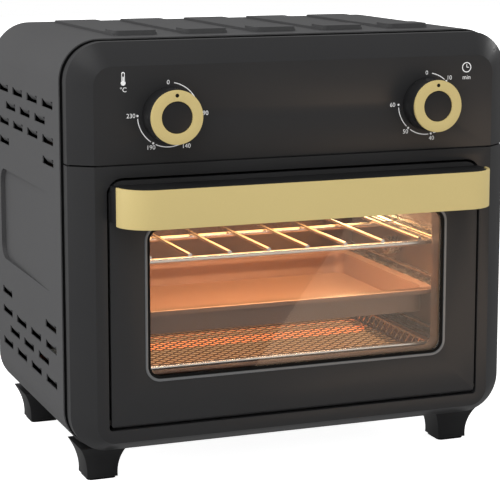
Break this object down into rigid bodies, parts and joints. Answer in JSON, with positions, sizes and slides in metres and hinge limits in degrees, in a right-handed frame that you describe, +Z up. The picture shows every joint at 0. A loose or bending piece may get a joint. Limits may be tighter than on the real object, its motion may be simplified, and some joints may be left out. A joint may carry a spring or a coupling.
{
  "type": "countertop oven",
  "caption": "Countertop rotisserie and air-fry oven with a drop-down glass door, a gold band handle, two dials, wire rack, baking tray, basket and crumb tray.",
  "frame": {"origin": "centre of the oven's outline on the surface it stands on", "axes": "+X to the right seen from the front, +Y to the back, +Z up"},
  "size_m": [0.388, 0.304, 0.3665],
  "materials": {
    "bezel_plastic": "fine matt texture",
    "housing_coat": "matt powder coat",
    "frame_coat": "matt black coat",
    "black_plastic": "moulded, matt",
    "rubber": "soft matt",
    "liner_steel": "aluminised sheet",
    "bright_steel": "bright plated",
    "rod_sheath": "heated sheath",
    "ceramic": "unglazed white",
    "motor_steel": "zinc plated",
    "cutoff_brass": "stamped",
    "screw_steel": "zinc plated",
    "lamp_glass": "clear, warm",
    "door_coat": "fine matt texture",
    "trim_steel": "satin",
    "window_glass": "clear tempered",
    "satin_gold": "satin gold paint",
    "wire_chrome": "bright plated wire",
    "tray_coat": "grey non-stick coat"
  },
  "bodies": {
    "oven": {"control_panel": "bezel_plastic", "door_surround": "bezel_plastic", "outer_housing": "housing_coat", "front_frame": "frame_coat", "base_plate": "frame_coat", "rear_cover": "frame_coat", "rear_spacers": "black_plastic", "cord_gland": "black_plastic", "foot_front_left": "black_plastic", "foot_front_right": "black_plastic", "foot_rear_left": "black_plastic", "foot_rear_right": "black_plastic", "foot_pads": "rubber", "cavity_left_wall": "liner_steel", "cavity_right_wall": "liner_steel", "cavity_roof": "liner_steel", "cavity_back": "liner_steel", "cavity_floor": "liner_steel", "fan_grille": "liner_steel", "shelf_guides_left": "bright_steel", "shelf_guides_right": "bright_steel", "spit_bracket": "bright_steel", "upper_heating_rods": "rod_sheath", "lower_heating_rods": "rod_sheath", "rod_insulators": "ceramic", "lamp_holder": "ceramic", "terminal_block": "ceramic", "fan_motor": "motor_steel", "spit_motor": "motor_steel", "thermostat": "motor_steel", "timer": "motor_steel", "thermal_cutoff": "cutoff_brass", "cover_screws": "screw_steel", "foot_screws": "screw_steel", "lamp_bulb": "lamp_glass", "lamp_cover": "lamp_glass"},
    "door": {"door_panel": "door_coat", "window_trim": "trim_steel", "window_gasket": "rubber", "door_glass": "window_glass", "door_liner": "liner_steel", "door_seal": "rubber", "handle_body": "black_plastic", "handle_band": "satin_gold", "handle_screws": "screw_steel", "hinge_pins": "bright_steel"},
    "temp_knob": {"temp_knob": "black_plastic", "temp_knob_ring": "satin_gold", "thermostat_shaft": "bright_steel"},
    "time_knob": {"time_knob": "black_plastic", "time_knob_ring": "satin_gold", "timer_shaft": "bright_steel"},
    "fan": {"fan_impeller": "bright_steel"},
    "spit_drive": {"spit_drive_socket": "bright_steel"},
    "wire_rack": {"wire_rack": "wire_chrome"},
    "baking_tray": {"baking_tray": "tray_coat"},
    "basket": {"basket_frame": "wire_chrome", "basket_mesh": "wire_chrome"},
    "crumb_tray": {"crumb_tray": "liner_steel"}
  },
  "joints": [
    {"name": "door_hinge", "type": "hinge", "parent": "oven", "child": "door", "pos_m": [0, -0.1045, 0.0565], "axis": [1, 0, 0], "range_deg": [0, 90]},
    {"name": "temp_knob_turn", "type": "hinge", "parent": "oven", "child": "temp_knob", "pos_m": [-0.113, -0.11, 0.3034], "axis": [0, 1, 0], "range_deg": [0, 270]},
    {"name": "time_knob_turn", "type": "hinge", "parent": "oven", "child": "time_knob", "pos_m": [0.113, -0.11, 0.3034], "axis": [0, 1, 0], "range_deg": [0, 270]},
    {"name": "fan_spin", "type": "hinge", "parent": "oven", "child": "fan", "pos_m": [0, 0.0182, 0.25], "axis": [0, 0, 1], "continuous": true},
    {"name": "spit_drive_spin", "type": "hinge", "parent": "oven", "child": "spit_drive", "pos_m": [0.15, 0.0182, 0.16], "axis": [1, 0, 0], "continuous": true},
    {"name": "wire_rack_slide", "type": "slide", "parent": "oven", "child": "wire_rack", "axis": [0, -1, 0], "range_m": [0, 0.1416]},
    {"name": "baking_tray_slide", "type": "slide", "parent": "oven", "child": "baking_tray", "axis": [0, -1, 0], "range_m": [0, 0.1102]},
    {"name": "basket_slide", "type": "slide", "parent": "oven", "child": "basket", "axis": [0, -1, 0], "range_m": [0, 0.0442]},
    {"name": "crumb_tray_slide", "type": "slide", "parent": "oven", "child": "crumb_tray", "axis": [0, 1, 0], "range_m": [0, 0.19]}
  ],
  "couplings": [
    {"joint": "wire_rack_slide", "follows": "door_hinge", "m_per_rad": 0.09},
    {"joint": "baking_tray_slide", "follows": "door_hinge", "m_per_rad": 0.07},
    {"joint": "basket_slide", "follows": "door_hinge", "m_per_rad": 0.028}
  ]
}
